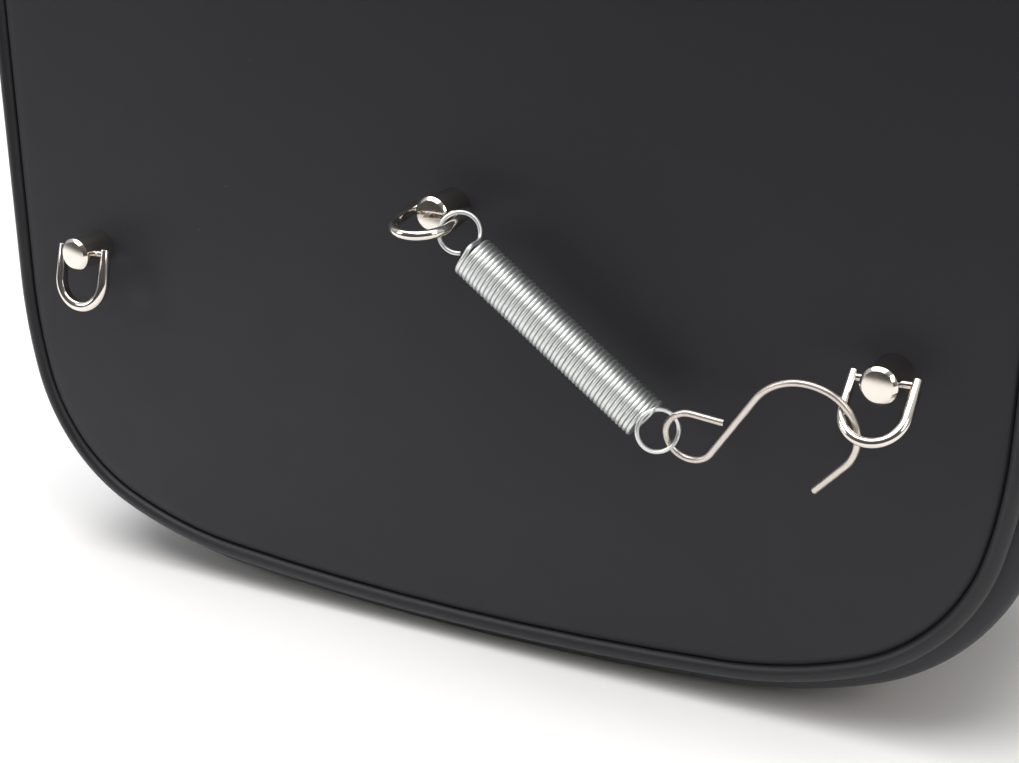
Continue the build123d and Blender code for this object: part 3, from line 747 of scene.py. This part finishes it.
# ---- Flap ----
# A lid of the coated fabric over a fibre board, lined with cloth. Its rear end turns over the
# back panel's top edge and is sewn down there as a tail; its piped hem hangs over the front.
FLAP_HALF = 0.152
TAIL_HALF = 0.122
FLAP_SLOPE = math.radians(2.688)
FOLD_R = 0.0214
FOLD_AT = (-0.051684, 0.27482)
FOLD_START = (-0.052688, 0.296196)
REAR_EDGE = (0.04774, 0.300916)
HEM_Z = 0.165
HEM_ROUND = 0.045
SLOPE_ROWS = 18
HEM_ROWS = 14
flap = start_point("flap_cover", (-FLAP_HALF, *REAR_EDGE))
for width, count in ((0.030, 6), (0.244, 44), (0.030, 6)):
    for _ in range(count):
        extrude(width / count, 0, 0)
bpy.ops.mesh.select_all(action="SELECT")
for _ in range(SLOPE_ROWS):
    extrude(0, (FOLD_START[0] - REAR_EDGE[0]) / SLOPE_ROWS,
            (FOLD_START[1] - REAR_EDGE[1]) / SLOPE_ROWS)
spin(12, 90 - math.degrees(FLAP_SLOPE), (0, *FOLD_AT), (-1, 0, 0))
for _ in range(10):
    extrude(0, 0, -(FOLD_AT[1] - HEM_Z - HEM_ROUND) / 10)
half_now = FLAP_HALF
for k in range(1, HEM_ROWS + 1):
    turn = math.radians(90 * k / HEM_ROWS)
    fall = HEM_ROUND * (math.sin(turn) - math.sin(math.radians(90 * (k - 1) / HEM_ROWS)))
    half = FLAP_HALF - HEM_ROUND + HEM_ROUND * math.cos(turn)
    extrude(0, 0, -fall)
    bpy.ops.transform.resize(value=(half / half_now, 1, 1))
    half_now = half
# The tail turns down over the panel; beside it the flap ends a little further back.
select_where(flap, lambda c, e: abs(c.y - REAR_EDGE[0]) < 1e-5 and abs(c.x) < TAIL_HALF, "edges")
spin(8, 90 + math.degrees(FLAP_SLOPE), (0, 0.0479, 0.29742), (1, 0, 0))
for _ in range(5):
    extrude(0, 0, -0.0045)
for shrink in (0.9959, 0.9897):
    extrude(0, 0, -0.0015)
    bpy.ops.transform.resize(value=(shrink, 1, 1))
select_where(flap, lambda c, e: abs(c.y - REAR_EDGE[0]) < 1e-5 and abs(c.x) > TAIL_HALF, "edges")
extrude(0, 0.00185, 0.000087)
bpy.ops.mesh.select_all(action="SELECT")
bpy.ops.mesh.remove_doubles(threshold=0.00001)
bpy.ops.mesh.normals_make_consistent(inside=False)
bpy.ops.object.mode_set(mode="OBJECT")
# The fabric rises and falls by a few tenths of a millimetre over its board.
for vertex in flap.data.vertices:
    edge_room = min(1.0, (FLAP_HALF - abs(vertex.co.x)) / 0.02, (vertex.co.z - HEM_Z) / 0.02)
    swell = 0.00035 * noise.noise(vertex.co / 0.05) + 0.0004 * edge_room
    if vertex.co.y < 0.045:
        vertex.co += vertex.normal * swell * edge_room
fabric = flap.modifiers.new("fabric", "SOLIDIFY")
fabric.thickness = 0.0014
fabric.offset = -1.0
bpy.ops.object.modifier_apply(modifier=fabric.name)
turned_edge = flap.modifiers.new("turned_edge", "BEVEL")
turned_edge.width = 0.0005
turned_edge.segments = 2
turned_edge.limit_method = "ANGLE"
turned_edge.angle_limit = math.radians(50)
bpy.ops.object.modifier_apply(modifier=turned_edge.name)
bpy.ops.object.shade_smooth_by_angle(angle=math.radians(45))
bpy.ops.object.select_all(action="DESELECT")
wear(flap, panel_fabric)
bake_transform(flap)
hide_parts("flap_skin", "flap_tail")
wear(frame["nodes"]["flap_board"], fibre_board)
wear(frame["nodes"]["flap_lining"], lining_cloth)
wear(frame["nodes"]["flap_piping"], piping_fabric)

# ---- Stitching ----
# Black bonded polyester thread, ten stitches to 32 mm, sunk into the fabric by half its depth.
STITCH_L = 0.0023
STITCH_PITCH = 0.0032
THREAD_R = 0.00027
thread, tree, shader, coordinates = new_material("thread_bonded_polyester")
# Two plies twist once each 0.8 mm; the bonding leaves a low sheen.
plies = add(tree, "TexWave", {"Vector": coordinates, "Scale": 0.5 / 0.0008 / 3.1416},
            bands_direction="DIAGONAL")
thread_tint = add(tree, "Mix", {0: plies.outputs["Fac"], 6: linear("#1a1a1c"),
                                7: linear("#323236")}, data_type="RGBA")
tree.links.new(thread_tint.outputs[2], shader.inputs["Base Color"])
twist = add(tree, "Bump", {"Height": plies.outputs["Fac"], "Strength": 0.4, "Distance": 0.0001})
tree.links.new(twist.outputs[0], shader.inputs["Normal"])
shader.inputs["Roughness"].default_value = 0.5


def stitch_row(name, points, outward, body):
    """Stitches along a line of points, each lying square to the outward direction."""
    bpy.ops.mesh.primitive_uv_sphere_add(segments=6, ring_count=4, radius=THREAD_R,
                                         location=(0, 0, 0))
    row = bpy.context.object
    row.name = row.data.name = name
    one = row.data.copy()
    for vertex in one.vertices:
        vertex.co.z *= STITCH_L / 2 / THREAD_R
    copies = []
    carry = 0.0
    for start, end in zip(points, points[1:]):
        start, end = Vector(start), Vector(end)
        run = end - start
        while carry < run.length:
            spot = start + run * (carry / run.length)
            lengthways = run.normalized()
            across = lengthways.cross(Vector(outward)).normalized()
            up = across.cross(lengthways).normalized()
            turn = Matrix((up, across, lengthways)).transposed().to_4x4()
            stitch = bpy.data.objects.new("stitch", one)
            stitch.matrix_world = Matrix.Translation(spot) @ turn
            bpy.context.scene.collection.objects.link(stitch)
            copies.append(stitch)
            carry += STITCH_PITCH
        carry -= run.length
    bpy.ops.object.mode_set(mode="EDIT")
    bpy.ops.mesh.select_all(action="SELECT")
    bpy.ops.mesh.delete(type="VERT")
    bpy.ops.object.mode_set(mode="OBJECT")
    for stitch in copies:
        stitch.select_set(True)
    row.select_set(True)
    bpy.context.view_layer.objects.active = row
    bpy.ops.object.join()
    bpy.ops.object.shade_smooth()
    bpy.ops.object.select_all(action="DESELECT")
    wear(row, thread)
    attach(row, body)
    return row


TAIL_Y = BACK_Y + 0.00145
TAIL_IN = TAIL_HALF - 0.003
EDGE_INSET = 0.0045
THREAD_PROUD = 0.0005
stitch_row("tail_stitches", [(TAIL_IN, TAIL_Y, 0.2945), (TAIL_IN, TAIL_Y, 0.2755),
                             (-TAIL_IN, TAIL_Y, 0.2755), (-TAIL_IN, TAIL_Y, 0.2945)],
           (0, 1, 0), "bag")
side_in = FLAP_HALF - EDGE_INSET
front_y = FOLD_AT[0] - FOLD_R - THREAD_PROUD
for side in (-1, 1):
    top_line = []
    for k in range(11):
        y = 0.040 - 0.0927 * k / 10
        top_line.append((side * side_in, y, 0.30135 - 0.04694 * (0.0477 - y)))
    fold_line = []
    for k in range(1, 9):
        turn = FLAP_SLOPE + (math.pi / 2 - FLAP_SLOPE) * k / 8
        fold_line.append((side * side_in, FOLD_AT[0] - (FOLD_R + THREAD_PROUD) * math.sin(turn),
                          FOLD_AT[1] + (FOLD_R + THREAD_PROUD) * math.cos(turn)))
    stitch_row("flap_stitches_top_%d" % (side + 2), top_line, (0, 0, 1), "flap")
    stitch_row("flap_stitches_fold_%d" % (side + 2), [top_line[-1]] + fold_line, (0, -0.7, 0.7),
               "flap")
hem_line = [(side_in, front_y, FOLD_AT[1])]
inner_round = HEM_ROUND - EDGE_INSET
for k in range(13):
    turn = math.radians(90 * k / 12)
    hem_line.append((FLAP_HALF - HEM_ROUND + inner_round * math.cos(turn), front_y,
                     HEM_Z + HEM_ROUND - inner_round * math.sin(turn)))
hem_line += [(-x, y, z) for x, y, z in reversed(hem_line)]
stitch_row("flap_stitches_hem", hem_line, (0, -1, 0), "flap")

# ---- Snaps ----
# Two magnets sewn behind the flap's hem meet two steel plates under the front panel's fabric;
# each is a plated disc 18 mm across with a rolled edge.
broken_edges("snap_magnets", "snap_magnet_discs", 0.0005, zinc_plate, 3)
broken_edges("snap_plates", "snap_plate_discs", 0.0005, zinc_plate, 3)

# ---- Carry handle ----
# A round grip of coated fabric rolled over a cord, drawn through two nickel rings. Each ring
# turns in a chape folded from the coated fabric and riveted to the flap.
grip_cloth = coated_fabric("grip_coated_fabric_rolled", "#1c1c1f", "#262629", 0.5, 1.4)
grip = broken_edges("handle_grip", "handle_grip_roll", 0.0008, grip_cloth, 3)
broken_edges("handle_rings", "handle_rings_wire", 0.0001, nickel)
broken_edges("handle_chapes", "handle_chapes_folded", 0.0005, panel_fabric, 3)
broken_edges("handle_rivets", "handle_rivets_set", 0.00035, nickel, 3)
